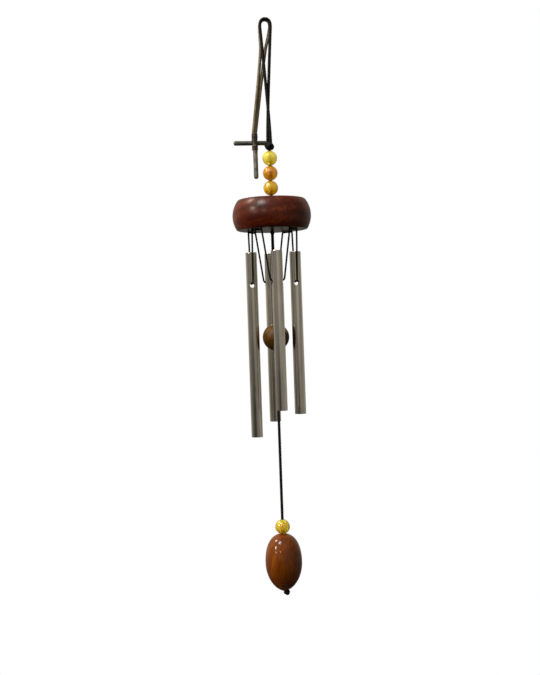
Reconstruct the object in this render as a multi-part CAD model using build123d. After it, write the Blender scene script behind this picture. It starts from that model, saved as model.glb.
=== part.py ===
from build123d import *
import os
from math import cos, pi, radians, sin, tan

# Wind chime: four tubes laced under a turned wooden disc, a ball clapper between them and
# an oval wind sail below, with a small bound cross on a suede lace beside the crown.
#
# Millimetres, +Z up. The origin is the point where the hanging loop bears on its hook.
# The tubes hang on the X and Y axes, and the hanging loop lies in the XZ plane.

# ---------------------------------------------------------------- driving dimensions

HOOK_DIAMETER = 6.0         # hook or nail that the loop is made for
RUNNING_GAP = 0.3           # left between pieces that move against each other
KNOT_GAP = 0.4              # left where a knot swings against what it bears on

LOOP_CORD = 2.4             # hanging loop
MAIN_CORD = 2.2             # through the beads and the disc, and down to the sail
CLAPPER_CORD = 2.4
TUBE_STRING = 1.4

CROWN_KNOT_Z = -94.4
CROWN_KNOT_WIDTH = 7.4
CROWN_KNOT_HEIGHT = 6.5
LOOP_FOOT_GAP = 0.65        # the loop's ends stop this far above the crown knot

BEAD_DIAMETER = 11.05
BEAD_BORE = 2.8
CROWN_BEADS_Z = {"bead_top": -103.5, "bead_middle": -114.7, "bead_bottom": -125.9}
SAIL_BEAD_Z = -379.1

DISC_TOP_Z = -134.4
DISC_HEIGHT = 22.9
DISC_TOP_DIAMETER = 50.0
DISC_WIDEST_DIAMETER = 58.9
DISC_WIDEST_DEPTH = 13.0    # below the top face
DISC_BOTTOM_DIAMETER = 52.7
DISC_BORE = 3.2
DISC_EDGE_ROUND = 1.0
STRING_HOLE = 2.2

TUBE_CIRCLE_RADIUS = 16.7
TUBE_DIAMETER = 8.5
TUBE_BORE = 6.9
TUBE_TOP_DROP = 16.6        # tube tops below the disc
TUBE_END_CHAMFER = 0.25
CROSS_HOLE = 4.2
STRING_OUTSIDE = 0.95       # the string turns upwards this far outside the tube
HOLE_HALF_SPACING = 10.44   # from a tube's plane to each of its two string holes

# name: (angle about Z in degrees, length, depth of its cross-hole below its top)
TUBES = {
    "right": (0, 122.0, 23.5),
    "back": (90, 128.0, 22.7),
    "left": (180, 138.0, 24.4),
    "front": (270, 118.0, 22.8),
}
DIAGONALS = {"back_right": 45, "back_left": 135, "front_left": 225, "front_right": 315}

BALL_DIAMETER = 20.0
BALL_Z = -237.75
BALL_BORE = 3.0

SAIL_WIDTH = 27.5
SAIL_HEIGHT = 43.0
SAIL_Z = -406.3             # its widest place, halfway down
SAIL_CROWN = (9.9, 11.8)    # the upper half's two handles: radius, and height up the side
SAIL_SHOULDER = 9.6         # the lower half is drawn in to a blunt point by these two
SAIL_TIP = (9.2, 18.7)      # radius, and depth below the widest place

SMALL_KNOT_HEIGHT = 3.0
UNDERSIDE_KNOT_WIDTH = 3.6
CLAPPER_KNOT_WIDTH = 3.8
SAIL_KNOT_WIDTH = 4.6
SAIL_KNOT_HEIGHT = 3.6
STOPPER_KNOT_WIDTH = 4.0
STOPPER_KNOT_HEIGHT = 2.6
KNOT_POLE = 0.94            # share of a knot's full oval that its flats leave

LACE = 2.4                  # suede lace that the cross hangs on
LACE_Y = 3.2                # the lace hangs on the hook just behind the cord loop
LACE_LEAN = 7.4             # degrees, its lean away from the crown
CROSS_ROD = 3.5
UPRIGHT_X = -10.5
UPRIGHT_Y = 1.4
UPRIGHT_TOP_Z = -85.0
UPRIGHT_LENGTH = 33.7
ARM_Y = 4.95
ARM_Z = -91.3
ARM_START_X = -26.3
ARM_LENGTH = 29.0
BINDING_TOP_Z = -84.0
BINDING_HEIGHT = 13.5
BINDING_WIDTH = 4.4
BINDING_DEPTH = 8.0
BINDING_ROUND = 1.6

# ---------------------------------------------------------------- derived places

HOOK_CENTRE_Z = -HOOK_DIAMETER / 2
DISC_BOTTOM_Z = DISC_TOP_Z - DISC_HEIGHT
TUBE_TOP_Z = DISC_BOTTOM_Z - TUBE_TOP_DROP
STRING_CLEAR = 0.1          # the tube's hole hangs this far above its string
STRING_RISE = (CROSS_HOLE - TUBE_STRING) / 2 - STRING_CLEAR     # above the hole's centre
STITCH_CLEAR = 0.02         # between the lacing and the disc's faces
STITCH_TOP_Z = DISC_TOP_Z + TUBE_STRING / 2 + STITCH_CLEAR
STITCH_BOTTOM_Z = DISC_BOTTOM_Z - TUBE_STRING / 2 - STITCH_CLEAR
STRING_PIVOT_Z = STITCH_BOTTOM_Z - TUBE_STRING - RUNNING_GAP
UNDERSIDE_KNOT_Z = DISC_BOTTOM_Z - KNOT_GAP - SMALL_KNOT_HEIGHT / 2
CLAPPER_KNOT_Z = BALL_Z - BALL_DIAMETER / 2 - RUNNING_GAP - SMALL_KNOT_HEIGHT / 2
STOPPER_KNOT_Z = DISC_TOP_Z + RUNNING_GAP + STOPPER_KNOT_HEIGHT / 2
SAIL_KNOT_Z = SAIL_Z - SAIL_HEIGHT / 2 - SAIL_KNOT_HEIGHT / 2

# ---------------------------------------------------------------- cord routes

LOOP_FOOT_Z = CROWN_KNOT_Z + CROWN_KNOT_HEIGHT / 2 + LOOP_FOOT_GAP
LOOP_ROUTE = [
    (1.25, -1.0, LOOP_FOOT_Z),
    (0.0, -1.5, -65.0),
    (-4.5, 0.0, LOOP_CORD / 2),
    (4.5, 0.0, LOOP_CORD / 2),
    (0.0, 1.5, -65.0),
    (-1.25, 1.0, LOOP_FOOT_Z),
]
LOOP_FOLD = 4.2             # radius of the loop's two corners over the hook

LACE_TOP_Z = LACE / 2
LACE_ROUTE = [
    (-0.6, LACE_Y - 1.3, -84.0),
    (-1.25, LACE_Y - 0.1, -38.0),
    (-4.5, LACE_Y, LACE_TOP_Z),
    (4.5, LACE_Y, LACE_TOP_Z),
    (1.25, LACE_Y + 0.1, -38.0),
    (0.6, LACE_Y + 1.3, -84.0),
]
LACE_FOLD = 4.2

STRING_CORNER = TUBE_DIAMETER / 2 + STRING_OUTSIDE
STRING_FOLD = 1.1


def string_route(hole_depth):
    """The right tube's string, if its cross-hole is this far down the tube."""
    low = TUBE_TOP_Z - hole_depth + STRING_RISE
    return [
        (TUBE_CIRCLE_RADIUS, -HOLE_HALF_SPACING, STRING_PIVOT_Z),
        (TUBE_CIRCLE_RADIUS, -STRING_CORNER, low),
        (TUBE_CIRCLE_RADIUS, STRING_CORNER, low),
        (TUBE_CIRCLE_RADIUS, HOLE_HALF_SPACING, STRING_PIVOT_Z),
    ]


# ---------------------------------------------------------------- building blocks

def corner_radii(points, tight):
    """Each corner's radius: as large as its runs allow, or the tight fold's own."""
    corners = [Vector(*p) for p in points]
    radii = []
    for n in range(1, len(corners) - 1):
        before = corners[n] - corners[n - 1]
        after = corners[n + 1] - corners[n]
        half_turn = radians(before.get_angle(after)) / 2
        widest = 0.45 * min(before.length, after.length) / tan(half_turn)
        radii.append(tight.get(n, widest))
    return radii


def cord(name, points, diameter, tight):
    """A round cord along straight runs joined by tangent arcs."""
    radii = corner_radii(points, tight)
    path = FilletPolyline(*points, radius=radii)
    start = Plane(origin=path @ 0, z_dir=path % 0)
    solid = sweep(start * Circle(diameter / 2), path=path)
    expected = pi * diameter**2 / 4 * path.length
    print(f"{name}: length {path.length:.1f}, radii", [round(r, 1) for r in radii],
          f"volume {solid.volume:.1f} of {expected:.1f}")
    return solid


def straight_cord(diameter, top_z, bottom_z):
    """A cord pulled straight down the chime's own axis."""
    return Pos(0, 0, (top_z + bottom_z) / 2) * Cylinder(diameter / 2, top_z - bottom_z)


def oval(width, height, z, bore=0.0, pole=1.0):
    """A round body on the Z axis with an elliptical section and a flat at each pole."""
    band = Pos((width + bore) / 2, 0) * Rectangle(width, height * pole)
    section = Plane.XZ * (Ellipse(width / 2, height / 2) & band)
    return Pos(0, 0, z) * revolve(section, Axis.Z)


def knot(width, height, z):
    """A small pulled-up knot: an oval with the flats where its cord comes in and out."""
    return oval(width, height / KNOT_POLE, z, pole=KNOT_POLE)


def bored(solid, bore, z, height):
    """The solid with a hole down the Z axis."""
    return solid - Pos(0, 0, z) * Cylinder(bore / 2, height + 2)


def turned(solid, angle):
    """The solid turned about the chime's axis."""
    return solid.rotate(Axis.Z, angle)


# ---------------------------------------------------------------- crown

def hanging_loop():
    """One cord over the hook, its two ends crossing once on the way to the crown knot."""
    return cord("hanging_loop", LOOP_ROUTE, LOOP_CORD, {2: LOOP_FOLD, 3: LOOP_FOLD})


def crown_knot():
    return knot(CROWN_KNOT_WIDTH, CROWN_KNOT_HEIGHT, CROWN_KNOT_Z)


def bead(z):
    """A round bead, drilled through."""
    ball = Pos(0, 0, z) * Sphere(BEAD_DIAMETER / 2)
    return bored(ball, BEAD_BORE, z, BEAD_DIAMETER)


def bead_cord():
    """From the crown knot through three beads and the disc."""
    top = CROWN_KNOT_Z - CROWN_KNOT_HEIGHT / 2 - KNOT_GAP
    stopper_top = STOPPER_KNOT_Z + STOPPER_KNOT_HEIGHT / 2
    upper = straight_cord(MAIN_CORD, top, stopper_top)
    lower = straight_cord(MAIN_CORD, DISC_TOP_Z + RUNNING_GAP, DISC_BOTTOM_Z)
    return Compound(children=[upper, lower])


def stopper_knot():
    """The knot that the beads stand on, above the disc."""
    return knot(STOPPER_KNOT_WIDTH, STOPPER_KNOT_HEIGHT, STOPPER_KNOT_Z)


# ---------------------------------------------------------------- disc and its lacing

def string_hole_places():
    """The eight string holes: two above each tube, one each side of it."""
    places = []
    for angle, _length, _depth in TUBES.values():
        for side in (-1, 1):
            spot = Vector(TUBE_CIRCLE_RADIUS, side * HOLE_HALF_SPACING, 0).rotate(Axis.Z, angle)
            places.append((spot.X, spot.Y))
    return places


def suspension_disc():
    """A turned barrel-sided disc, bored for the cord and drilled for the strings."""
    top = (DISC_TOP_DIAMETER / 2, DISC_TOP_Z)
    widest = (DISC_WIDEST_DIAMETER / 2, DISC_TOP_Z - DISC_WIDEST_DEPTH)
    bottom = (DISC_BOTTOM_DIAMETER / 2, DISC_BOTTOM_Z)
    side = ThreePointArc(top, widest, bottom)
    rest = Polyline(bottom, (0, DISC_BOTTOM_Z), (0, DISC_TOP_Z), top)
    section = Plane.XZ * make_face(Curve() + [side, rest])
    disc = revolve(section, Axis.Z)
    rims = disc.edges().filter_by(GeomType.CIRCLE)
    disc = fillet(rims, DISC_EDGE_ROUND)
    middle = (DISC_TOP_Z + DISC_BOTTOM_Z) / 2
    for x, y in string_hole_places():
        disc -= Pos(x, y, middle) * Cylinder(STRING_HOLE / 2, DISC_HEIGHT + 2)
    return bored(disc, DISC_BORE, middle, DISC_HEIGHT)


def lacing(angle):
    """A round turn of string through the two holes on a diagonal, over and under the disc."""
    hole = Vector(TUBE_CIRCLE_RADIUS, HOLE_HALF_SPACING, 0)
    reach = (hole.X + hole.Y) * cos(radians(45))
    half = (hole.X - hole.Y) * sin(radians(45))
    corners = [
        (reach, -half, STITCH_TOP_Z),
        (reach, half, STITCH_TOP_Z),
        (reach, half, STITCH_BOTTOM_Z),
        (reach, -half, STITCH_BOTTOM_Z),
    ]
    path = FilletPolyline(*corners, radius=1.0, close=True)
    start = Plane(origin=path @ 0, z_dir=path % 0)
    return turned(sweep(start * Circle(TUBE_STRING / 2), path=path), angle)


# ---------------------------------------------------------------- tubes and their strings

def tube_string(name, angle, hole_depth):
    """Down from one hole, through the tube's cross-hole and up to the other hole."""
    route = string_route(hole_depth)
    run = cord(name, route, TUBE_STRING, {1: STRING_FOLD, 2: STRING_FOLD})
    for end in (route[0], route[-1]):
        run += Pos(*end) * Sphere(TUBE_STRING / 2)
    return turned(run, angle)


def tube(angle, length, hole_depth):
    """A thin-walled tube, open at both ends, with one cross-hole through both walls."""
    middle = TUBE_TOP_Z - length / 2
    blank = Cylinder(TUBE_DIAMETER / 2, length)
    blank = chamfer(blank.edges().filter_by(GeomType.CIRCLE), TUBE_END_CHAMFER)
    blank -= Cylinder(TUBE_BORE / 2, length + 2)
    blank = Pos(TUBE_CIRCLE_RADIUS, 0, middle) * blank
    cross = Rot(90, 0, 0) * Cylinder(CROSS_HOLE / 2, TUBE_DIAMETER + 2)
    blank -= Pos(TUBE_CIRCLE_RADIUS, 0, TUBE_TOP_Z - hole_depth) * cross
    return turned(blank, angle)


# ---------------------------------------------------------------- clapper and sail

def underside_knot():
    return knot(UNDERSIDE_KNOT_WIDTH, SMALL_KNOT_HEIGHT, UNDERSIDE_KNOT_Z)


def clapper_cord():
    """Thick cord from the knot under the disc, down through the ball."""
    top = UNDERSIDE_KNOT_Z - SMALL_KNOT_HEIGHT / 2 - RUNNING_GAP
    bottom = CLAPPER_KNOT_Z + SMALL_KNOT_HEIGHT / 2 + RUNNING_GAP
    return straight_cord(CLAPPER_CORD, top, bottom)


def clapper_ball():
    ball = Pos(0, 0, BALL_Z) * Sphere(BALL_DIAMETER / 2)
    return bored(ball, BALL_BORE, BALL_Z, BALL_DIAMETER)


def clapper_knot():
    return knot(CLAPPER_KNOT_WIDTH, SMALL_KNOT_HEIGHT, CLAPPER_KNOT_Z)


def sail_cord():
    """Down from the clapper's knot through the sail's bead and the sail."""
    top = CLAPPER_KNOT_Z - SMALL_KNOT_HEIGHT / 2 - RUNNING_GAP
    return straight_cord(MAIN_CORD, top, SAIL_KNOT_Z + SAIL_KNOT_HEIGHT / 2)


def wind_sail():
    """The turned drop that catches the wind, oval above and blunt-pointed below, bored."""
    width, height = SAIL_WIDTH / 2, SAIL_HEIGHT / 2
    top, widest, bottom = (0, height), (width, 0), (BEAD_BORE / 2, -height)
    upper = Bezier(top, (SAIL_CROWN[0], height), (width, SAIL_CROWN[1]), widest)
    lower = Bezier(widest, (width, -SAIL_SHOULDER), (SAIL_TIP[0], -SAIL_TIP[1]), bottom)
    rest = Polyline(bottom, (0, -height), top)
    section = Plane.XZ * make_face(Curve() + [upper, lower, rest])
    drop = Pos(0, 0, SAIL_Z) * revolve(section, Axis.Z)
    return bored(drop, BEAD_BORE, SAIL_Z, SAIL_HEIGHT)


def sail_knot():
    return knot(SAIL_KNOT_WIDTH, SAIL_KNOT_HEIGHT, SAIL_KNOT_Z)


# ---------------------------------------------------------------- bound cross

def charm_lace():
    """Suede lace doubled over the hook, both legs together down to the binding."""
    lace = cord("charm_lace", LACE_ROUTE, LACE, {2: LACE_FOLD, 3: LACE_FOLD})
    hook_axis = Axis((0, 0, HOOK_CENTRE_Z), (0, 1, 0))
    return lace.rotate(hook_axis, LACE_LEAN)


def rod(length):
    """A round-ended rod along Z, centred."""
    blank = Cylinder(CROSS_ROD / 2, length)
    return fillet(blank.edges().filter_by(GeomType.CIRCLE), CROSS_ROD * 0.4)


def charm_upright():
    return Pos(UPRIGHT_X, UPRIGHT_Y, UPRIGHT_TOP_Z - UPRIGHT_LENGTH / 2) * rod(UPRIGHT_LENGTH)


def charm_arm():
    middle_x = ARM_START_X + ARM_LENGTH / 2
    return Pos(middle_x, ARM_Y, ARM_Z) * Rot(0, 90, 0) * rod(ARM_LENGTH)


def charm_binding():
    """The wrapping that holds the two rods together, shaped to them inside."""
    block = Box(BINDING_WIDTH, BINDING_DEPTH, BINDING_HEIGHT)
    block = fillet(block.edges().filter_by(Axis.Z), BINDING_ROUND)
    middle_y = (UPRIGHT_Y + ARM_Y) / 2
    block = Pos(UPRIGHT_X, middle_y, BINDING_TOP_Z - BINDING_HEIGHT / 2) * block
    return block - charm_upright() - charm_arm()


# ---------------------------------------------------------------- assembly

def all_nodes():
    nodes = {"hanging_loop": hanging_loop(), "crown_knot": crown_knot()}
    nodes["bead_cord"] = bead_cord()
    nodes["stopper_knot"] = stopper_knot()
    for name, z in CROWN_BEADS_Z.items():
        nodes[name] = bead(z)
    nodes["suspension_disc"] = suspension_disc()
    for name, angle in DIAGONALS.items():
        nodes[f"lacing_{name}"] = lacing(angle)
    for name, (angle, length, hole_depth) in TUBES.items():
        nodes[f"string_{name}"] = tube_string(f"string_{name}", angle, hole_depth)
        nodes[f"tube_{name}"] = tube(angle, length, hole_depth)
    nodes["underside_knot"] = underside_knot()
    nodes["clapper_cord"] = clapper_cord()
    nodes["clapper_ball"] = clapper_ball()
    nodes["clapper_knot"] = clapper_knot()
    nodes["sail_cord"] = sail_cord()
    nodes["sail_bead"] = bead(SAIL_BEAD_Z)
    nodes["wind_sail"] = wind_sail()
    nodes["sail_knot"] = sail_knot()
    nodes["charm_lace"] = charm_lace()
    nodes["charm_upright"] = charm_upright()
    nodes["charm_arm"] = charm_arm()
    nodes["charm_binding"] = charm_binding()
    return nodes


os.makedirs("parts", exist_ok=True)
for node, shape in all_nodes().items():
    export_step(shape, f"parts/{node}.step")
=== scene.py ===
import math

import bmesh
import bpy
from mathutils import Matrix, Vector


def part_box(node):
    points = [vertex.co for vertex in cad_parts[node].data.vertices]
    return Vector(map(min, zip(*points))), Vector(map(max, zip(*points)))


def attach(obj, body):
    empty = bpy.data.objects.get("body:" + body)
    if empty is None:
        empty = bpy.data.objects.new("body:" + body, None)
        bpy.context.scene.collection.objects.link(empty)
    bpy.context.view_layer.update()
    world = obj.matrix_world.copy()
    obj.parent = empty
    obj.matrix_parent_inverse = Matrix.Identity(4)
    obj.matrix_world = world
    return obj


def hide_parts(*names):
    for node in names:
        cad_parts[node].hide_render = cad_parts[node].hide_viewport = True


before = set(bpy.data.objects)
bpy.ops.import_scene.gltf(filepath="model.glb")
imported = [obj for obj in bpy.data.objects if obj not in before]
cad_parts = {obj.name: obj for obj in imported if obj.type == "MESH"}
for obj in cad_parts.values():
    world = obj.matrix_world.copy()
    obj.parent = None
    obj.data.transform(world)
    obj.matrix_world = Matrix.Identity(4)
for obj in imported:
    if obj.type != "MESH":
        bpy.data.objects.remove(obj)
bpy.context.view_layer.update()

# Wind chime, in metres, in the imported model's own frame: +Z up, origin where the loop bears
# on its hook. Cord routes, string holes and hole depths are in millimetres, and MM turns them
# into metres.

MM = 0.001

# ---------------------------------------------------------------- camera

CAMERA_AZIMUTH = math.radians(-8.4)
CAMERA_ROLL = math.radians(2)
CAMERA_DISTANCE = 0.880
CAMERA_LENS = 62.6
CAMERA_AIM = Vector((0, 0, -0.238))
CAMERA_SIDEWAYS = -0.0045


def make_camera():
    """The photograph's level, slightly rolled view, from a little left of the front."""
    level = Vector((math.cos(CAMERA_AZIMUTH), math.sin(CAMERA_AZIMUTH), 0))
    back = Vector((math.sin(CAMERA_AZIMUTH), -math.cos(CAMERA_AZIMUTH), 0))
    plumb = Vector((0, 0, 1))
    right = level * math.cos(CAMERA_ROLL) - plumb * math.sin(CAMERA_ROLL)
    up = plumb * math.cos(CAMERA_ROLL) + level * math.sin(CAMERA_ROLL)
    lens = bpy.data.cameras.new("camera")
    lens.lens = CAMERA_LENS
    lens.clip_start = 0.05
    holder = bpy.data.objects.new("camera", lens)
    bpy.context.scene.collection.objects.link(holder)
    place = CAMERA_AIM + right * CAMERA_SIDEWAYS + back * CAMERA_DISTANCE
    turn = Matrix((right, up, back)).transposed().to_4x4()
    holder.matrix_world = Matrix.Translation(place) @ turn
    bpy.context.scene.camera = holder


make_camera()

# ---------------------------------------------------------------- cord routes

LOOP_CORD = 2.4 * MM
MAIN_CORD = 2.2 * MM
CLAPPER_CORD = 2.4 * MM
TUBE_STRING = 1.4 * MM
LACE = 2.4 * MM

HOOK_CENTRE = Vector((0, 0, -3 * MM))
LACE_LEAN = math.radians(7.4)
TUBE_CIRCLE = 16.7
HOLE_HALF_SPACING = 10.44   # from a tube's plane to each of its two string holes
STITCH_HALF = 4.43          # half of a lacing stitch, between the middles of its two holes
TUBE_ANGLES = {"right": 0, "back": 90, "left": 180, "front": 270}
DIAGONALS = {"back_right": 45, "back_left": 135, "front_left": 225, "front_right": 315}

# The points of part.py's routes, with one more on each run about 5 diameters from the hook.
# The point partway down each run is up to 15 mm further along it than part.py's, none is more
# than 2 mm to the side, and the ends reach 1.5 to 2.5 mm further into what holds them.
LOOP_ROUTE = [
    (1.0, -1.0, -92.0),
    (0.75, -1.35, -80.0),
    (-3.4, -0.2, -13.0),
    (-4.5, 0.0, 1.2),
    (4.5, 0.0, 1.2),
    (3.4, 0.2, -13.0),
    (-0.75, 1.35, -80.0),
    (-1.0, 1.0, -92.0),
]
LACE_ROUTE = [
    (-1.0, 1.9, -86.5),
    (-0.5, 3.1, -24.0),
    (-2.6, 3.17, -13.0),
    (-4.5, 3.2, 1.2),
    (4.5, 3.2, 1.2),
    (3.4, 3.23, -13.0),
    (1.8, 3.3, -24.0),
    (1.0, 4.5, -86.5),
]
# The right tube's string: down in front, in at the cross-hole, and up behind.
STRING_ROUTE = [
    (TUBE_CIRCLE, -HOLE_HALF_SPACING, -158.4),
    (TUBE_CIRCLE, -6.0, -191.6),
    (TUBE_CIRCLE, -5.2, -197.7),
    (TUBE_CIRCLE, -2.7, -197.0),
    (TUBE_CIRCLE, 2.7, -197.0),
    (TUBE_CIRCLE, 5.2, -197.7),
    (TUBE_CIRCLE, 6.0, -191.6),
    (TUBE_CIRCLE, HOLE_HALF_SPACING, -158.4),
]
# How far below its top each tube's cross-hole is; the route above is for the left one.
HOLE_DEPTHS = {"right": 23.5, "back": 22.7, "left": 24.4, "front": 22.8}
CLAPPER_ROUTE = [(0.0, 0.0, -160.2), (0.0, 0.0, -200.0), (0.0, 0.0, -248.3)]
SAIL_ROUTE = [(0.0, 0.0, -250.6), (0.0, 0.0, -330.0), (0.0, 0.0, -428.0)]
BEAD_CORD_ROUTE = [(0.0, 0.0, -97.0), (0.0, 0.0, -125.0), (0.0, 0.0, -157.8)]
# One round turn of lacing over and under the disc: along the stitch, and height.
LACING_REACH = 19.19
LACING_ROUTE = [
    (-3.2, -134.4), (-STITCH_HALF, -134.4), (-STITCH_HALF, -135.7), (-STITCH_HALF, -156.6),
    (-STITCH_HALF, -158.02), (-3.2, -158.02), (3.2, -158.02), (STITCH_HALF, -158.02),
    (STITCH_HALF, -156.6), (STITCH_HALF, -135.7), (STITCH_HALF, -134.4), (3.2, -134.4),
]


def in_metres(points):
    """Points given in millimetres, as vectors in metres."""
    return [Vector(point) * MM for point in points]


def turned(points, degrees):
    """Points turned about the chime's own axis."""
    turn = Matrix.Rotation(math.radians(degrees), 3, "Z")
    return [turn @ point for point in points]


def leaned(points):
    """Points leaned with the lace, about the hook."""
    lean = Matrix.Rotation(LACE_LEAN, 3, "Y")
    return [HOOK_CENTRE + lean @ (point - HOOK_CENTRE) for point in points]


def nurbs_line(points, cyclic=False):
    """The line that a NURBS spline draws with these control points."""
    curve = bpy.data.curves.new("route", "CURVE")
    curve.dimensions = "3D"
    curve.resolution_u = 24
    spline = curve.splines.new("NURBS")
    spline.points.add(len(points) - 1)
    for spot, place in zip(spline.points, points):
        spot.co = (*place, 1)
    spline.order_u = 3
    spline.use_endpoint_u = not cyclic
    spline.use_cyclic_u = cyclic
    holder = bpy.data.objects.new("route", curve)
    mesh = bpy.data.meshes.new_from_object(holder)
    line = [vertex.co.copy() for vertex in mesh.vertices]
    bpy.data.objects.remove(holder)
    bpy.data.curves.remove(curve)
    bpy.data.meshes.remove(mesh)
    return line


def evened(line, step):
    """The same line with its points about one step apart."""
    reach = [0.0]
    for here, after in zip(line, line[1:]):
        reach.append(reach[-1] + (after - here).length)
    count = max(3, round(reach[-1] / step))
    result, at = [], 0
    for n in range(count + 1):
        want = reach[-1] * n / count
        while at < len(line) - 2 and reach[at + 1] < want:
            at += 1
        span = max(reach[at + 1] - reach[at], 1e-9)
        result.append(line[at].lerp(line[at + 1], (want - reach[at]) / span))
    return result


# ---------------------------------------------------------------- mesh building

SHARP = math.radians(38)
CORD_SHARP = math.radians(75)   # keeps a cord's strands smooth


def finished(name, mesh, sharp=SHARP):
    """A linked object with smooth shading, broken only at its sharp edges."""
    mesh.name = name
    mesh.polygons.foreach_set("use_smooth", [True] * len(mesh.polygons))
    mesh.set_sharp_from_angle(angle=sharp)
    made = bpy.data.objects.new(name, mesh)
    bpy.context.scene.collection.objects.link(made)
    return made


def from_bmesh(name, bm, sharp=SHARP):
    """The bmesh as a finished object, with its faces turned outwards."""
    bmesh.ops.recalc_face_normals(bm, faces=bm.faces)
    mesh = bpy.data.meshes.new(name)
    bm.to_mesh(mesh)
    bm.free()
    return finished(name, mesh, sharp)


def skin(bm, line, section, closed=False):
    """A tube along the line. section(distance) gives its outline as (side, rise) pairs."""
    count = len(line)
    ahead = [line[(n + 1) % count] if closed else line[min(n + 1, count - 1)]
             for n in range(count)]
    behind = [line[n - 1] if closed else line[max(n - 1, 0)] for n in range(count)]
    side = (ahead[0] - behind[0]).orthogonal().normalized()
    rings, distance = [], 0.0
    for n, spot in enumerate(line):
        along = (ahead[n] - behind[n]).normalized()
        side = (side - along * side.dot(along)).normalized()
        rise = along.cross(side)
        if n:
            distance += (spot - line[n - 1]).length
        rings.append([bm.verts.new(spot + side * x + rise * y) for x, y in section(distance)])
    join_rings(bm, rings, closed)
    if not closed:
        bm.faces.new(rings[0])
        bm.faces.new(rings[-1])


def join_rings(bm, rings, closed):
    """Quads between each ring of vertices and the next."""
    width = len(rings[0])
    for n in range(len(rings) if closed else len(rings) - 1):
        ring, following = rings[n], rings[(n + 1) % len(rings)]
        for k in range(width):
            after = (k + 1) % width
            bm.faces.new((ring[k], ring[after], following[after], following[k]))


def twisted(diameter, strands=3, lay=2.9, groove=0.12):
    """A laid cord's outline: its strands turn once in each lay, given in diameters."""
    sides = strands * 8

    def section(distance):
        turn = 2 * math.pi * distance / (lay * diameter)
        outline = []
        for n in range(sides):
            angle = 2 * math.pi * n / sides
            lobe = abs(math.sin(strands * (angle - turn) / 2))
            radius = diameter / 2 * (1 - groove + groove * lobe)
            outline.append((radius * math.cos(angle), radius * math.sin(angle)))
        return outline

    return section


def flat_strip(width, thickness):
    """A flat lace's outline, with soft edges."""
    def section(distance):
        outline = []
        for n in range(20):
            angle = 2 * math.pi * n / 20
            across, through = math.cos(angle), math.sin(angle)
            across = math.copysign(abs(across) ** 0.6, across)
            through = math.copysign(abs(through) ** 0.6, through)
            outline.append((across * width / 2, through * thickness / 2))
        return outline

    return section


def arc(centre, radius, start, end, steps):
    """Points on a circle, from one angle to another, in degrees."""
    angles = [math.radians(start + (end - start) * n / steps) for n in range(steps + 1)]
    return [(centre[0] + radius * math.cos(a), centre[1] + radius * math.sin(a))
            for a in angles]


def bezier(a, b, c, d, steps):
    """Points on a cubic Bezier curve."""
    points = []
    for n in range(steps + 1):
        t = n / steps
        s = 1 - t
        weights = (s**3, 3 * s * s * t, 3 * s * t * t, t**3)
        points.append(tuple(sum(w * p[k] for w, p in zip(weights, (a, b, c, d)))
                            for k in (0, 1)))
    return points


def lathe(outline, place=Matrix(), steps=96, solid_ends=False):
    """A turned shape. outline is (radius, height) round a closed section, or from pole
    to pole where the ends are solid."""
    bm = bmesh.new()
    rings = []
    inner = outline[1:-1] if solid_ends else outline
    for radius, height in inner:
        angles = [2 * math.pi * n / steps for n in range(steps)]
        rings.append([bm.verts.new(place @ Vector((radius * math.cos(a),
                                                   radius * math.sin(a), height)))
                      for a in angles])
    join_rings(bm, rings, closed=not solid_ends)
    if solid_ends:
        for end, ring in ((outline[0], rings[0]), (outline[-1], rings[-1])):
            pole = bm.verts.new(place @ Vector((0, 0, end[1])))
            for k in range(steps):
                bm.faces.new((ring[k], ring[(k + 1) % steps], pole))
    return bm


def laid_across(degrees):
    """Lays a turned shape on its side, and then turns it about the chime's own axis."""
    return Matrix.Rotation(math.radians(degrees), 4, "Z") @ Matrix.Rotation(
        math.radians(90), 4, "X")


def drill(radius, reach, place, steps):
    """A plain rod to cut a hole or a groove with, as far as reach to each side."""
    rod = lathe([(0, -reach), (radius, -reach), (radius, reach), (0, reach)], place, steps,
                solid_ends=True)
    return from_bmesh("drill", rod)


def cut(target, cutters):
    """The target with the cutters taken away from it, and the cutters gone."""
    for cutter in cutters:
        step = target.modifiers.new("cut", "BOOLEAN")
        step.operation = "DIFFERENCE"
        step.solver = "EXACT"
        step.object = cutter
    bpy.context.view_layer.update()
    seen = target.evaluated_get(bpy.context.evaluated_depsgraph_get())
    mesh = bpy.data.meshes.new_from_object(seen)
    target.modifiers.clear()
    old, target.data = target.data, mesh
    bpy.data.meshes.remove(old)
    mesh.polygons.foreach_set("use_smooth", [True] * len(mesh.polygons))
    mesh.set_sharp_from_angle(angle=SHARP)
    for cutter in cutters:
        spare = cutter.data
        bpy.data.objects.remove(cutter)
        bpy.data.meshes.remove(spare)


# ---------------------------------------------------------------- material nodes

def srgb(red, green, blue):
    """A display colour, 0 to 255, as the linear colour that shaders take."""
    def linear(value):
        share = value / 255
        return share / 12.92 if share <= 0.04045 else ((share + 0.055) / 1.055) ** 2.4

    return (linear(red), linear(green), linear(blue), 1)


def feed(tree, socket, value):
    """Sets the socket to a value, or links it from another node's output."""
    if isinstance(value, bpy.types.NodeSocket):
        tree.links.new(value, socket)
    else:
        socket.default_value = value


def put(tree, kind, settings=None, **inputs):
    """A shader node. An input is a value, or another node's output to link from."""
    made = tree.nodes.new("ShaderNode" + kind)
    for key, value in (settings or {}).items():
        setattr(made, key, value)
    for key, value in inputs.items():
        feed(tree, made.inputs[key.replace("_", " ")], value)
    return made


def new_material(name):
    """(material, its tree, its shader)"""
    made = bpy.data.materials.new(name)
    made.use_nodes = True
    return made, made.node_tree, made.node_tree.nodes["Principled BSDF"]


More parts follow.
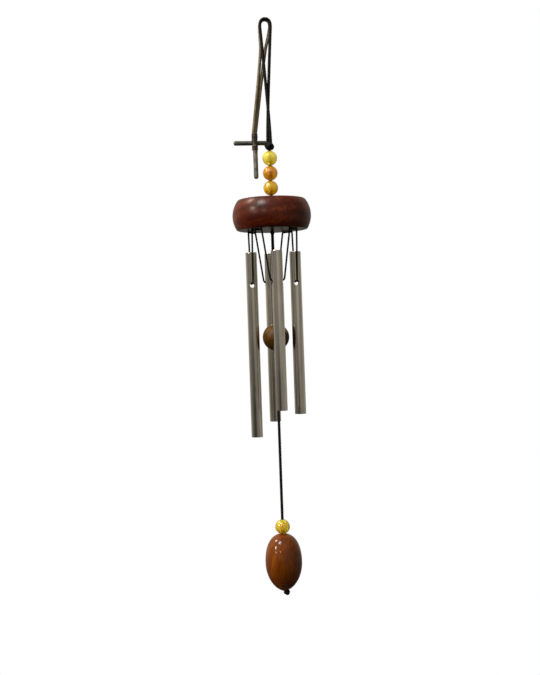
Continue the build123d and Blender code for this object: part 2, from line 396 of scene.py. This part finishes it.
def coordinates(tree, scale=(1, 1, 1), turn=(0, 0, 0)):
    """Object coordinates, in metres, turned in degrees and then scaled."""
    place = put(tree, "TexCoord").outputs["Object"]
    turned_first = put(tree, "Mapping", Vector=place,
                       Rotation=[math.radians(a) for a in turn]).outputs["Vector"]
    return put(tree, "Mapping", Vector=turned_first, Scale=scale).outputs["Vector"]


def noise(tree, vector, scale, detail=3.0, roughness=0.5, distortion=0.0):
    """A noise texture's value; scale is how many features there are to a metre."""
    return put(tree, "TexNoise", Vector=vector, Scale=scale, Detail=detail,
               Roughness=roughness, Distortion=distortion).outputs["Fac"]


def ramp(tree, factor, stops, ease="EASE"):
    """Colours or greys along a factor. A stop is (position, colour)."""
    made = put(tree, "ValToRGB", Fac=factor)
    made.color_ramp.interpolation = ease
    elements = made.color_ramp.elements
    while len(elements) < len(stops):
        elements.new(0.5)
    for element, (position, colour) in zip(elements, stops):
        element.position = position
        element.color = colour if hasattr(colour, "__len__") else (colour,) * 3 + (1,)
    return made.outputs["Color"]


def blend_colours(tree, factor, first, second, way="MIX"):
    """Two colours mixed, or put together in another way."""
    made = put(tree, "Mix", {"data_type": "RGBA", "blend_type": way})
    for socket, value in ((made.inputs[0], factor), (made.inputs[6], first),
                          (made.inputs[7], second)):
        feed(tree, socket, value)
    return made.outputs[2]


def maths(tree, way, first, second=0.0):
    """One sum of two values."""
    made = put(tree, "Math", {"operation": way})
    for socket, value in zip(made.inputs, (first, second)):
        feed(tree, socket, value)
    return made.outputs[0]


def bumps(tree, height, distance, strength=1.0, under=None):
    """A normal that shows this height, on top of coarser bumps if there are any."""
    made = put(tree, "Bump", Height=height, Distance=distance, Strength=strength)
    if under is not None:
        tree.links.new(under, made.inputs["Normal"])
    return made.outputs["Normal"]


def dress(tree, shader, **inputs):
    """Sets or links the shader's inputs."""
    for key, value in inputs.items():
        feed(tree, shader.inputs[key.replace("_", " ")], value)


# ---------------------------------------------------------------- materials

def fibre_material(name, dark, light, fibre_scale, rough=(0.55, 0.8), sheen=0.15):
    """Spun or suede fibre: fine uneven strands, worn pale where it rubs."""
    made, tree, shader = new_material(name)
    place = coordinates(tree)
    cloudy = noise(tree, place, 140, 4)
    strands = noise(tree, coordinates(tree, (1, 1, 0.22)), fibre_scale, 5, 0.7)
    fuzz = noise(tree, place, fibre_scale * 2.2, 3, 0.8)
    mixed = maths(tree, "ADD", maths(tree, "MULTIPLY", strands, 0.6),
                  maths(tree, "MULTIPLY", cloudy, 0.4))
    colour = ramp(tree, mixed, [(0.36, dark), (0.66, light)])
    roughness = ramp(tree, fuzz, [(0.3, rough[0]), (0.7, rough[1])])
    coarse = bumps(tree, strands, 0.00012, 0.7)
    dress(tree, shader, Base_Color=colour, Roughness=roughness,
          Normal=bumps(tree, fuzz, 0.00006, 0.6, coarse), Sheen_Weight=sheen,
          Sheen_Roughness=0.5, Specular_IOR_Level=0.2)
    return made


def wood_material(name, tones, turn, grain_scale, wobble, rough, coat, gloss):
    """Turned and varnished wood, its grain along one direction and cut across by the shape."""
    made, tree, shader = new_material(name)
    place = coordinates(tree, (1, 1, 1), turn)

    def along_grain(vector, share):
        return put(tree, "Mapping", Vector=vector, Scale=(share, 1, 1)).outputs["Vector"]

    bend = noise(tree, along_grain(place, 0.35), 45, 2)
    swept = put(tree, "VectorMath", {"operation": "SCALE"}, Scale=wobble)
    tree.links.new(put(tree, "CombineXYZ", X=0.0, Y=bend, Z=bend).outputs[0], swept.inputs[0])
    bent = put(tree, "VectorMath", {"operation": "ADD"})
    tree.links.new(place, bent.inputs[0])
    tree.links.new(swept.outputs[0], bent.inputs[1])
    bent = bent.outputs[0]
    offset = put(tree, "Mapping", Vector=bent, Location=(0, 0.012, 0.021)).outputs["Vector"]
    rings = put(tree, "TexWave", {"wave_type": "RINGS", "rings_direction": "X",
                                  "wave_profile": "SIN"},
                Vector=offset, Scale=grain_scale, Distortion=2.2, Detail=3.0,
                Detail_Scale=2.0, Detail_Roughness=0.6).outputs["Fac"]
    cloudy = noise(tree, along_grain(bent, 0.5), 75, 3, 0.5)
    streaks = noise(tree, along_grain(bent, 0.08), 460, 3, 0.5)
    fibres = noise(tree, along_grain(bent, 0.04), 1500, 3, 0.6)
    mixed = maths(tree, "MULTIPLY", rings, 0.08)
    for part, share in ((cloudy, 0.44), (streaks, 0.32), (fibres, 0.16)):
        mixed = maths(tree, "ADD", mixed, maths(tree, "MULTIPLY", part, share))
    colour = ramp(tree, mixed, [(0.36, tones[0]), (0.5, tones[1]), (0.64, tones[2])])
    roughness = ramp(tree, streaks, [(0.3, rough[0]), (0.7, rough[1])])
    under = bumps(tree, fibres, 0.00001, 0.2)
    dress(tree, shader, Base_Color=colour, Roughness=roughness,
          Normal=bumps(tree, streaks, 0.00002, 0.2, under),
          Coat_Weight=coat, Coat_Roughness=gloss, Specular_IOR_Level=0.08)
    return made


def glass_material(name, pale, deep, clear, rough, cloud_scale, glow):
    """Tinted glass with wisps of deeper colour and a few fine scratches."""
    made, tree, shader = new_material(name)
    place = coordinates(tree)
    wisps = noise(tree, place, cloud_scale, 2, 0.45, 0.3)
    colour = ramp(tree, wisps, [(0.32, pale), (0.62, deep)])
    scuffs = noise(tree, coordinates(tree, (1, 1, 0.2), (20, 35, 0)), 1600, 2, 0.8)
    roughness = ramp(tree, scuffs, [(0.45, rough), (0.75, rough + 0.12)])
    dress(tree, shader, Base_Color=colour, Roughness=roughness,
          Normal=bumps(tree, scuffs, 0.000002, 0.1), Transmission_Weight=clear, IOR=1.5,
          Subsurface_Weight=glow, Subsurface_Scale=0.006,
          Subsurface_Radius=(1.0, 0.9, 0.4), Coat_Weight=0.8, Coat_Roughness=0.05)
    return made


def tube_material(name):
    """Drawn aluminium: fine lines down its length, a few handling marks."""
    made, tree, shader = new_material(name)
    lines = noise(tree, coordinates(tree, (1, 1, 0.004)), 1900, 3, 0.6)
    bands = noise(tree, coordinates(tree, (1, 1, 0.012)), 620, 2, 0.5)
    marks = noise(tree, coordinates(tree, (1, 1, 0.5)), 160, 4, 0.6)
    mixed = maths(tree, "ADD", maths(tree, "MULTIPLY", bands, 0.7),
                  maths(tree, "MULTIPLY", marks, 0.3))
    colour = ramp(tree, mixed, [(0.34, srgb(186, 180, 168)), (0.66, srgb(220, 215, 205))])
    roughness = ramp(tree, marks, [(0.35, 0.05), (0.7, 0.11)])
    under = bumps(tree, lines, 0.000004, 0.3)
    dress(tree, shader, Base_Color=colour, Metallic=1.0, Roughness=roughness,
          Normal=bumps(tree, bands, 0.00001, 0.3, under))
    return made


def rod_material(name):
    """Dark grey rod, rubbed brighter on its high spots."""
    made, tree, shader = new_material(name)
    place = coordinates(tree)
    patches = noise(tree, place, 190, 4, 0.55)
    dents = noise(tree, place, 420, 2, 0.5)
    grain = noise(tree, place, 2400, 3, 0.7)
    colour = ramp(tree, patches, [(0.35, srgb(84, 83, 77)), (0.66, srgb(128, 126, 118))])
    roughness = ramp(tree, grain, [(0.3, 0.36), (0.7, 0.5)])
    under = bumps(tree, dents, 0.00008, 0.4)
    dress(tree, shader, Base_Color=colour, Metallic=0.7, Roughness=roughness,
          Normal=bumps(tree, grain, 0.000008, 0.3, under))
    return made


MATERIALS = {
    "black_cord": fibre_material("waxed_black_cord", srgb(2, 2, 2), srgb(10, 9, 9), 1600,
                                 (0.55, 0.75), 0.0),
    "tube_string": fibre_material("black_string", srgb(3, 3, 3), srgb(11, 10, 10), 2000,
                                  (0.6, 0.8), 0.0),
    "suede": fibre_material("taupe_suede", srgb(88, 78, 56), srgb(124, 113, 88), 1300,
                            (0.8, 0.97), 0.15),
    "brown_binding": fibre_material("brown_thong", srgb(30, 23, 15), srgb(58, 48, 35), 900,
                                    (0.5, 0.7), 0.1),
    "dark_wood": wood_material("dark_red_wood",
                               (srgb(42, 6, 1), srgb(64, 16, 2), srgb(94, 36, 7)),
                               (0, 10, 35), 40, 0.004, (0.45, 0.55), 0.35, 0.26),
    "ball_wood": wood_material("honey_wood",
                               (srgb(50, 31, 4), srgb(69, 43, 8), srgb(88, 57, 15)),
                               (0, 20, 30), 60, 0.004, (0.4, 0.5), 0.2, 0.35),
    "sail_wood": wood_material("amber_wood",
                               (srgb(78, 32, 0), srgb(95, 45, 0), srgb(115, 61, 3)),
                               (0, 84, 10), 40, 0.004, (0.4, 0.5), 0.45, 0.03),
    "bead_lemon": glass_material("lemon_glass", srgb(250, 236, 110), srgb(238, 208, 40),
                                 0.6, 0.12, 170, 0.9),
    "bead_amber": glass_material("amber_glass", srgb(232, 176, 30), srgb(206, 134, 4),
                                 0.6, 0.12, 170, 0.9),
    "bead_honey": glass_material("honey_glass", srgb(234, 196, 38), srgb(214, 160, 6),
                                 0.6, 0.12, 170, 0.9),
    "bead_yellow": glass_material("cloudy_yellow_glass", srgb(238, 218, 76),
                                  srgb(210, 172, 10), 0.5, 0.12, 120, 0.9),
    "tube_metal": tube_material("drawn_aluminium"),
    "gunmetal": rod_material("dark_rod_metal"),
}


def place_piece(piece, slot, body, *nodes):
    """The piece takes its material, rides on its body and stands for its CAD nodes."""
    piece.data.materials.clear()
    piece.data.materials.append(MATERIALS[slot])
    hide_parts(*nodes)
    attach(piece, body)
    return piece


# ---------------------------------------------------------------- cords

def cord_piece(name, line, section):
    """A finished cord along an evened line."""
    bm = bmesh.new()
    skin(bm, line, section)
    return from_bmesh(name, bm, CORD_SHARP)


def rings_apart(diameter):
    """How far apart a laid cord's rings are, so that its strands turn smoothly."""
    return diameter * 0.24


def black_cord(name, route, diameter, body, node):
    """(piece, its line) of a laid black cord along a route in millimetres."""
    line = evened(nurbs_line(in_metres(route)), rings_apart(diameter))
    piece = cord_piece(name, line, twisted(diameter))
    return place_piece(piece, "black_cord", body, node), line


loop_piece, loop_line = black_cord("hanging_loop_cord", LOOP_ROUTE, LOOP_CORD, "root",
                                   "hanging_loop")

lace_line = evened(nurbs_line(leaned(in_metres(LACE_ROUTE))), 0.7 * MM)
lace_piece = cord_piece("charm_lace_suede", lace_line, flat_strip(LACE, 0.8 * LACE))
place_piece(lace_piece, "suede", "lace", "charm_lace")

clapper_piece, clapper_line = black_cord("clapper_cord_laid", CLAPPER_ROUTE, CLAPPER_CORD,
                                         "clapper", "clapper_cord")
sail_cord_piece, sail_line = black_cord("sail_cord_laid", SAIL_ROUTE, MAIN_CORD,
                                        "sail_line", "sail_cord")
black_cord("bead_cord_laid", BEAD_CORD_ROUTE, MAIN_CORD, "crown", "bead_cord")

string_lines, string_pieces = {}, {}
for side, angle in TUBE_ANGLES.items():
    rise = Vector((0, 0, HOLE_DEPTHS["left"] - HOLE_DEPTHS[side])) * MM
    route = in_metres(STRING_ROUTE)
    route = turned(route[:1] + [point + rise for point in route[1:-1]] + route[-1:], angle)
    string_lines[side] = evened(nurbs_line(route), rings_apart(TUBE_STRING))
    string_pieces[side] = cord_piece(f"string_{side}_laid", string_lines[side],
                                     twisted(TUBE_STRING, 2, 3.2, 0.1))
    place_piece(string_pieces[side], "tube_string", f"string_{side}", f"string_{side}")

for corner, angle in DIAGONALS.items():
    route = in_metres([(LACING_REACH, along, height) for along, height in LACING_ROUTE])
    line = evened(nurbs_line(turned(route, angle), cyclic=True), rings_apart(TUBE_STRING))
    bm = bmesh.new()
    skin(bm, line[:-1], twisted(TUBE_STRING, 2, 3.2, 0.1), closed=True)
    piece = from_bmesh(f"lacing_{corner}_laid", bm, CORD_SHARP)
    place_piece(piece, "tube_string", "disc", f"lacing_{corner}")


# ---------------------------------------------------------------- knots

KNOT_STEPS = 160
CORE_SHARE = 0.84           # the plain core inside a knot's turns, as a share of the knot


def tied_knot(name, node, body, strand, spin, aside=(0, 0, 0), tail=None, swell=1.0):
    """A pulled knot that fills the CAD knot's box: one strand wound twice round itself."""
    low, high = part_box(node)
    middle, half = (low + high) / 2, (high - low) / 2 * swell
    middle = middle + Vector(aside) * MM
    thick = half.z - strand / 2
    wide = half.x - strand / 2 - thick
    line = []
    for n in range(KNOT_STEPS):
        t = 2 * math.pi * n / KNOT_STEPS
        out = wide + thick * math.cos(3 * t)
        angle = 2 * t + math.radians(spin)
        line.append(middle + Vector((out * math.cos(angle), out * math.sin(angle),
                                     thick * math.sin(3 * t))))
    bm = bmesh.new()
    skin(bm, line, twisted(strand), closed=True)
    if tail:
        end = middle + Vector(tail) * MM
        route = [middle, middle.lerp(end, 0.5) + Vector((0.2 * strand, 0, 0)), end]
        skin(bm, evened(nurbs_line(route), rings_apart(strand)), twisted(strand * 0.8))
    core = bmesh.ops.create_icosphere(bm, subdivisions=3, radius=1.0)["verts"]
    for vertex in core:
        vertex.co = middle + Vector((vertex.co.x * half.x * CORE_SHARE,
                                     vertex.co.y * half.y * CORE_SHARE,
                                     vertex.co.z * half.z * CORE_SHARE))
    piece = from_bmesh(name, bm, CORD_SHARP)
    return place_piece(piece, "black_cord", body, node)


tied_knot("crown_knot_tied", "crown_knot", "crown_knot", 2.7 * MM, 20, swell=1.07)
tied_knot("stopper_knot_tied", "stopper_knot", "crown", 1.2 * MM, 70)
tied_knot("underside_knot_tied", "underside_knot", "underside_knot", 1.2 * MM, 35)
clapper_knot_piece = tied_knot("clapper_knot_tied", "clapper_knot", "clapper_knot",
                               1.3 * MM, 10)
sail_knot_piece = tied_knot("sail_knot_tied", "sail_knot", "sail_line", 1.7 * MM, 55,
                            (1.7, 0, 0.5), (0.5, 0.2, -2.2), 1.15)

# ---------------------------------------------------------------- beads, ball and sail

BEAD_BORE = 2.5 * MM
BEAD_SWELL = 0.06 * MM      # closes the gaps between the crown's beads
BALL_BORE = 3.0 * MM
LIP = 0.15 * MM
BEAD_SUNK = 0.7 * MM       # the sail's bead sits this far down, in a seat turned in the sail


def bored_ball(name, node, slot, body, bore, sunk=0.0, swell=0.0, steps=96):
    """A ball with a bore down it and softened lips."""
    low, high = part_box(node)
    radius, middle = (high.x - low.x) / 2 + swell, (low.z + high.z) / 2 - sunk
    start = 90 - math.degrees(math.asin((bore / 2 + LIP) / radius))
    outside = arc((0, middle), radius, start, -start, 44)
    lip = outside[0][1] - middle - 0.3 * LIP
    inside = [(bore / 2 + 0.3 * LIP, middle - lip - 0.1 * LIP), (bore / 2, middle - lip + LIP),
              (bore / 2, middle + lip - LIP), (bore / 2 + 0.3 * LIP, middle + lip + 0.1 * LIP)]
    piece = from_bmesh(name, lathe(outside + inside, steps=steps))
    return place_piece(piece, slot, body, node)


for bead, glass in (("bead_top", "bead_lemon"), ("bead_middle", "bead_amber"),
                    ("bead_bottom", "bead_honey")):
    bored_ball(f"{bead}_glass", bead, glass, bead, BEAD_BORE, swell=BEAD_SWELL)
bored_ball("sail_bead_glass", "sail_bead", "bead_yellow", "sail_bead", BEAD_BORE,
           sunk=BEAD_SUNK)
bored_ball("clapper_ball_wood", "clapper_ball", "ball_wood", "clapper_ball", BALL_BORE)

SAIL_CROWN = (9.9 * MM, 11.8 * MM)
SAIL_SHOULDER = 9.6 * MM
SAIL_TIP = (9.2 * MM, 18.7 * MM)
SAIL_HALF = 21.5 * MM
SEAT_CLEAR = 0.05 * MM


def bead_seat(top, bore):
    """The hollow in the sail's top that its bead sits in, from the bore outwards."""
    low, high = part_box("sail_bead")
    reach = (high.x - low.x) / 2 + SEAT_CLEAR
    middle = (low.z + high.z) / 2 - BEAD_SUNK
    rim = math.sqrt(reach**2 - (middle - top)**2)
    radii = [bore + (rim - bore) * n / 4 for n in range(5)]
    return [(r, middle - math.sqrt(reach**2 - r**2)) for r in radii]


def wind_sail():
    """Oval above, drawn in to a blunt point below, and bored, with a seat for its bead."""
    low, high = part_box("wind_sail")
    width, bore = (high.x - low.x) / 2, BEAD_BORE / 2
    top = high.z
    middle = top - SAIL_HALF
    above = bezier((0, top), (SAIL_CROWN[0], top), (width, middle + SAIL_CROWN[1]),
                   (width, middle), 30)
    seat = bead_seat(top, bore)
    above = seat + [p for p in above if p[0] > seat[-1][0] + LIP]
    below = bezier((width, middle), (width, middle - SAIL_SHOULDER),
                   (SAIL_TIP[0], middle - SAIL_TIP[1]), (bore + LIP, low.z), 26)
    inside = [(bore, low.z + LIP)]
    piece = from_bmesh("wind_sail_wood", lathe(above + below[1:] + inside, steps=128))
    return place_piece(piece, "sail_wood", "wind_sail", "wind_sail")


wind_sail()

# ---------------------------------------------------------------- disc

DISC_TOP = 25.0 * MM
DISC_DEEP = 13.0 * MM
DISC_BOTTOM = 26.35 * MM
DISC_BORE = 3.2 * MM
STRING_HOLE = 2.2 * MM
SHOULDER = 0.9 * MM
GROOVE = 0.78 * MM          # radius of the shallow grooves that the lacing lies in on top


def circle_through(a, b, c):
    """(centre, radius) of the circle through three points."""
    (ax, ay), (bx, by), (cx, cy) = a, b, c
    twice = 2 * (ax * (by - cy) + bx * (cy - ay) + cx * (ay - by))
    sa, sb, sc = ax**2 + ay**2, bx**2 + by**2, cx**2 + cy**2
    x = (sa * (by - cy) + sb * (cy - ay) + sc * (ay - by)) / twice
    y = (sa * (cx - bx) + sb * (ax - cx) + sc * (bx - ax)) / twice
    return (x, y), math.hypot(ax - x, ay - y)


def on_ring(vertex, ring):
    """Whether the vertex is on the ring with this (radius, height)."""
    here = (math.hypot(vertex.co.x, vertex.co.y), vertex.co.z)
    return math.dist(here, ring) < 1e-6


def suspension_disc():
    """The turned barrel-sided disc with its shoulders rounded and its string holes cut."""
    low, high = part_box("suspension_disc")
    widest = (high.x - low.x) / 2
    top, side, bottom = (DISC_TOP, high.z), (widest, high.z - DISC_DEEP), (DISC_BOTTOM, low.z)
    centre, radius = circle_through(top, side, bottom)
    angles = [math.degrees(math.atan2(p[1] - centre[1], p[0] - centre[0]))
              for p in (top, bottom)]
    bore = DISC_BORE / 2
    outline = [(bore, high.z - LIP), (bore + LIP, high.z), (DISC_TOP * 0.5, high.z)]
    outline += arc(centre, radius, angles[0], angles[1], 12)
    outline += [(DISC_TOP * 0.5, low.z), (bore + LIP, low.z), (bore, low.z + LIP)]
    bm = lathe(outline, steps=144)
    rims = [edge for edge in bm.edges
            if any(all(on_ring(vertex, rim) for vertex in edge.verts)
                   for rim in (top, bottom))]
    bmesh.ops.bevel(bm, geom=rims, offset=SHOULDER, segments=6, profile=0.5,
                    affect="EDGES")
    piece = from_bmesh("suspension_disc_wood", bm, math.radians(30))
    drills = []
    half = (high.z - low.z) / 2 + MM
    for angle in TUBE_ANGLES.values():
        for across in (-HOLE_HALF_SPACING, HOLE_HALF_SPACING):
            spot = turned(in_metres([(TUBE_CIRCLE, across, 0)]), angle)[0]
            spot.z = (low.z + high.z) / 2
            drills.append(drill(STRING_HOLE / 2, half, Matrix.Translation(spot), 24))
    for degrees in DIAGONALS.values():
        spot = turned(in_metres([(LACING_REACH, 0, 0)]), degrees)[0]
        spot.z = high.z
        place = Matrix.Translation(spot) @ laid_across(degrees)
        drills.append(drill(GROOVE, STITCH_HALF * MM, place, 24))
    cut(piece, drills)
    return place_piece(piece, "dark_wood", "disc", "suspension_disc")


suspension_disc()

# ---------------------------------------------------------------- tubes

TUBE_WALL = 0.8 * MM
TUBE_RIM = 0.25 * MM
CROSS_HOLE = 4.2 * MM
DRILL_REACH = 6 * MM        # past both walls of a tube
RING_STEP = 6 * MM          # between the rings of a tube's mesh


def metal_tube(side, angle):
    """A thin drawn tube with softened rims and one cross-hole."""
    node = f"tube_{side}"
    low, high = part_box(node)
    middle = (low + high) / 2
    outer = (high.x - low.x) / 2
    inner = outer - TUBE_WALL
    levels = [high.z - TUBE_RIM - n * RING_STEP for n in range(40)]
    levels = [z for z in levels if z > low.z + TUBE_RIM + 2 * MM] + [low.z + TUBE_RIM]
    levels = [levels[0], levels[0] - TUBE_RIM] + levels[1:-1] + [levels[-1] + TUBE_RIM,
                                                                 levels[-1]]
    rim = [(outer - 0.3 * TUBE_RIM, 0.3), (outer - TUBE_RIM, 0.0), (inner + TUBE_RIM * 0.6, 0.0),
           (inner, 0.6)]
    outline = [(outer, z) for z in levels]
    outline += [(r, low.z + share * TUBE_RIM) for r, share in rim]
    outline += [(inner, z) for z in reversed(levels)]
    outline += [(r, high.z - share * TUBE_RIM) for r, share in reversed(rim)]
    place = Matrix.Translation((middle.x, middle.y, 0))
    piece = from_bmesh(f"{node}_metal", lathe(outline, place, 72))
    spot = Vector((middle.x, middle.y, high.z - HOLE_DEPTHS[side] * MM))
    cut(piece, [drill(CROSS_HOLE / 2, DRILL_REACH,
                      Matrix.Translation(spot) @ laid_across(angle), 48)])
    return place_piece(piece, "tube_metal", node, node)


for side, angle in TUBE_ANGLES.items():
    metal_tube(side, angle)

# ---------------------------------------------------------------- bound cross

CROSS_ROD = 3.5 * MM
THONG = 1.25 * MM


def rounded_rod(name, node, axis):
    """A short rod with full round ends, along its node's long side."""
    low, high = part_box(node)
    middle, half = (low + high) / 2, (high - low) / 2
    radius, length = CROSS_ROD / 2, half[axis]
    rounding = 0.8 * radius
    flat = radius - rounding
    upper = arc((flat, length - rounding), rounding, 90, 0, 8)
    lower = arc((flat, -length + rounding), rounding, 0, -90, 8)
    outline = [(0, length)] + upper + lower + [(0, -length)]
    turn = Matrix() if axis == 2 else Matrix.Rotation(math.radians(90), 4, "Y")
    rod = lathe(outline, Matrix.Translation(middle) @ turn, 40, solid_ends=True)
    return place_piece(from_bmesh(name, rod), "gunmetal", "cross", node)


rounded_rod("charm_upright_rod", "charm_upright", 2)
rounded_rod("charm_arm_rod", "charm_arm", 0)


def charm_binding():
    """A thong wound round both rods: turns above and below the arm, crossed over between."""
    low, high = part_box("charm_binding")
    middle, half = (low + high) / 2, (high - low) / 2
    arm_low, arm_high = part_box("charm_arm")
    arm = (arm_low.z + arm_high.z) / 2
    width, depth = half.x - THONG / 2, half.y - THONG / 2

    def around(angle, height, swell=0.0):
        x, y = math.cos(angle), math.sin(angle)
        x, y = (math.copysign(abs(v) ** 0.75, v) for v in (x, y))
        return Vector((middle.x + x * (width + swell), middle.y + y * (depth + swell), height))

    bm = bmesh.new()
    steps = 48
    clear = CROSS_ROD / 2 + THONG / 2
    above = [high.z - THONG / 2, arm + clear]
    below = [arm - clear, low.z + THONG / 2]
    for first, last in (above, below):
        turns = max(1, round((first - last) / (THONG * 0.94)))
        count = steps * turns
        line = [around(2 * math.pi * n / steps, first + (last - first) * n / count)
                for n in range(count + 1)]
        skin(bm, line, flat_strip(THONG, THONG * 0.9))
    for lean in (-1, 1):
        for shift in (-0.55, 0.55):
            line = [around(2 * math.pi * n / steps,
                           arm + shift * THONG - lean * clear * 1.05
                           * math.cos(2 * math.pi * n / steps),
                           -0.3 * THONG if lean < 0 else 0.0)
                    for n in range(steps)]
            skin(bm, line, flat_strip(THONG, THONG * 0.9), closed=True)
    core = [around(2 * math.pi * n / steps, 0, -THONG * 0.35) for n in range(steps)]
    rings = [[bm.verts.new((p.x, p.y, z)) for p in core]
             for z in (high.z - THONG * 0.5, low.z + THONG * 0.5)]
    join_rings(bm, rings, False)
    bm.faces.new(rings[0])
    bm.faces.new(rings[1])
    piece = from_bmesh("charm_binding_thong", bm, CORD_SHARP)
    return place_piece(piece, "brown_binding", "cross", "charm_binding")


charm_binding()

# ---------------------------------------------------------------- floor and light

FLOOR_Z = -3.0
FLOOR_RADIUS = 0.80

# How bright the room is all round the object: degrees to the right of the camera, and the
# light from there. These are not a plain studio's values. They were scaled by ratios that a
# separate script measured between the photograph and a render, until the bands on the tubes
# nearly agreed. ROOM_HEIGHT, ROOM_SLOPE, HORIZON and partly ROOM_TINT were set from the same
# measurements.
ROOM = [
    (-180, 0.60), (-134, 0.58), (-100, 0.36), (-76, 0.21), (-36, 0.16), (-18, 0.14),
    (0, 0.28), (18, 0.385), (36, 0.36), (55, 0.335), (76, 0.36), (100, 0.35), (134, 0.48),
    (180, 0.54),
]
ROOM_TINT = (1.0, 0.94, 0.82)
# The same by height, from straight down (0) to straight up (1): share of the above.
ROOM_HEIGHT = [(0.2, 0.1), (0.40, 0.5), (0.476, 0.78), (0.514, 1.13), (0.62, 1.1), (0.9, 1.4)]
# Where the room is darker below the horizon than above it (under 0.5), or lighter (over 0.5).
ROOM_SLOPE = [
    (-60, 0.5), (-36, 0.07), (-18, 0.03), (0, 0.30), (36, 0.5), (60, 0.66), (76, 0.85),
    (100, 0.88), (134, 0.5),
]
HORIZON = (0.476, 0.510)    # the heights between which that slope turns over


def make_floor():
    """A round pale floor far below the hanging object."""
    bm = bmesh.new()
    bmesh.ops.create_circle(bm, cap_ends=True, segments=128, radius=FLOOR_RADIUS,
                            matrix=Matrix.Translation((0, 0, FLOOR_Z)))
    floor = from_bmesh("floor", bm)
    made, tree, shader = new_material("pale_floor")
    mottle = noise(tree, coordinates(tree), 9, 3)
    colour = ramp(tree, mottle, [(0.3, srgb(236, 236, 235)), (0.7, srgb(244, 244, 244))])
    dress(tree, shader, Roughness=0.85, Base_Color=colour)
    floor.data.materials.append(made)
    floor.visible_glossy = False


def seen_from_camera(sideways, away, rise):
    """A direction given as the camera sees it, level with the ground."""
    level = Vector((math.cos(CAMERA_AZIMUTH), math.sin(CAMERA_AZIMUTH), 0))
    ahead = Vector((-math.sin(CAMERA_AZIMUTH), math.cos(CAMERA_AZIMUTH), 0))
    return level * sideways + ahead * away + Vector((0, 0, rise))


def softbox(name, way, reach, aim, size, power, mirrored=True, tint=(1, 1, 1)):
    """A rectangular light that faces a point, from a direction as the camera sees it."""
    light = bpy.data.lights.new(name, "AREA")
    light.shape = "RECTANGLE"
    light.size, light.size_y = size
    light.energy = power
    light.color = tint
    holder = bpy.data.objects.new(name, light)
    bpy.context.scene.collection.objects.link(holder)
    holder.location = aim + seen_from_camera(*way).normalized() * reach
    holder.rotation_euler = (aim - holder.location).to_track_quat("-Z", "Y").to_euler()
    holder.visible_glossy = mirrored


def make_world():
    """The room that the object reflects, and the plain white studio that the camera sees."""
    world = bpy.data.worlds.new("studio")
    bpy.context.scene.world = world
    world.use_nodes = True
    tree = world.node_tree
    tree.nodes.clear()
    way = put(tree, "TexCoord").outputs["Generated"]
    facing = math.radians(90) - CAMERA_AZIMUTH
    turned_way = put(tree, "Mapping", Vector=way, Rotation=(0, 0, facing)).outputs["Vector"]
    around = put(tree, "TexGradient", {"gradient_type": "RADIAL"}, Vector=turned_way)
    stops = [(0.5 + angle / 360, tuple(light * tint for tint in ROOM_TINT) + (1,))
             for angle, light in ROOM]
    level = ramp(tree, around.outputs["Fac"], stops)
    rise = put(tree, "SeparateXYZ", Vector=way).outputs["Z"]
    share = maths(tree, "MULTIPLY", maths(tree, "ADD", rise, 1.0), 0.5)
    height = ramp(tree, share, ROOM_HEIGHT)
    slope = ramp(tree, around.outputs["Fac"],
                 [(0.5 + angle / 360, amount) for angle, amount in ROOM_SLOPE])
    lower = ramp(tree, share, [(HORIZON[0], 1.0), (HORIZON[1], 0.0)], "LINEAR")
    swing = maths(tree, "MULTIPLY", maths(tree, "SUBTRACT", slope, 0.5),
                  maths(tree, "SUBTRACT", lower, 0.5))
    height = maths(tree, "MULTIPLY", height,
                   maths(tree, "ADD", 1.0, maths(tree, "MULTIPLY", swing, 2.0)))
    lit = put(tree, "Background", Strength=1.0,
              Color=blend_colours(tree, 1.0, level, height, "MULTIPLY"))
    seen = put(tree, "Background", Color=(1, 1, 1, 1), Strength=1.0)
    ray = put(tree, "LightPath")
    plain = maths(tree, "MAXIMUM", ray.outputs["Is Camera Ray"],
                  ray.outputs["Is Transmission Ray"])
    choose = put(tree, "MixShader")
    tree.links.new(plain, choose.inputs[0])
    tree.links.new(lit.outputs[0], choose.inputs[1])
    tree.links.new(seen.outputs[0], choose.inputs[2])
    tree.links.new(choose.outputs[0], put(tree, "OutputWorld").inputs["Surface"])


# Small lamps, each as its direction from the sail, its size and its power. The sail's varnish
# shows them as bright points, placed where the photograph's highlights are.
LAMPS = [
    ((-0.620, 0.060, 0.780), 0.70, 62), ((-0.770, -0.440, 0.460), 0.60, 48),
    ((-0.765, -0.615, 0.260), 0.28, 9), ((-0.365, -0.885, 0.310), 0.28, 9),
    ((-0.242, -0.657, 0.711), 0.18, 3),
]
LAMP_REACH = 4.0
LAMP_TINT = (1.0, 0.84, 0.68)

make_floor()
make_world()
sail_middle = Vector((0, 0, -0.406))
disc_middle = Vector((0, 0, -0.146))
softbox("overhead", (-0.42, -0.50, 0.78), 2.0, disc_middle, (0.5, 0.6), 24)
softbox("fill", (-0.16, -0.42, 0.89), 2.0, disc_middle, (1.2, 1.2), 16, mirrored=False)
softbox("key", (-0.85, -0.35, 0.6), 2.0, disc_middle, (1.2, 1.2), 22, mirrored=False)
for number, (way, size, power) in enumerate(LAMPS):
    softbox(f"lamp_{number}", way, LAMP_REACH, sail_middle, (size, size), power,
            tint=LAMP_TINT)
bpy.context.scene.view_settings.view_transform = "Standard"
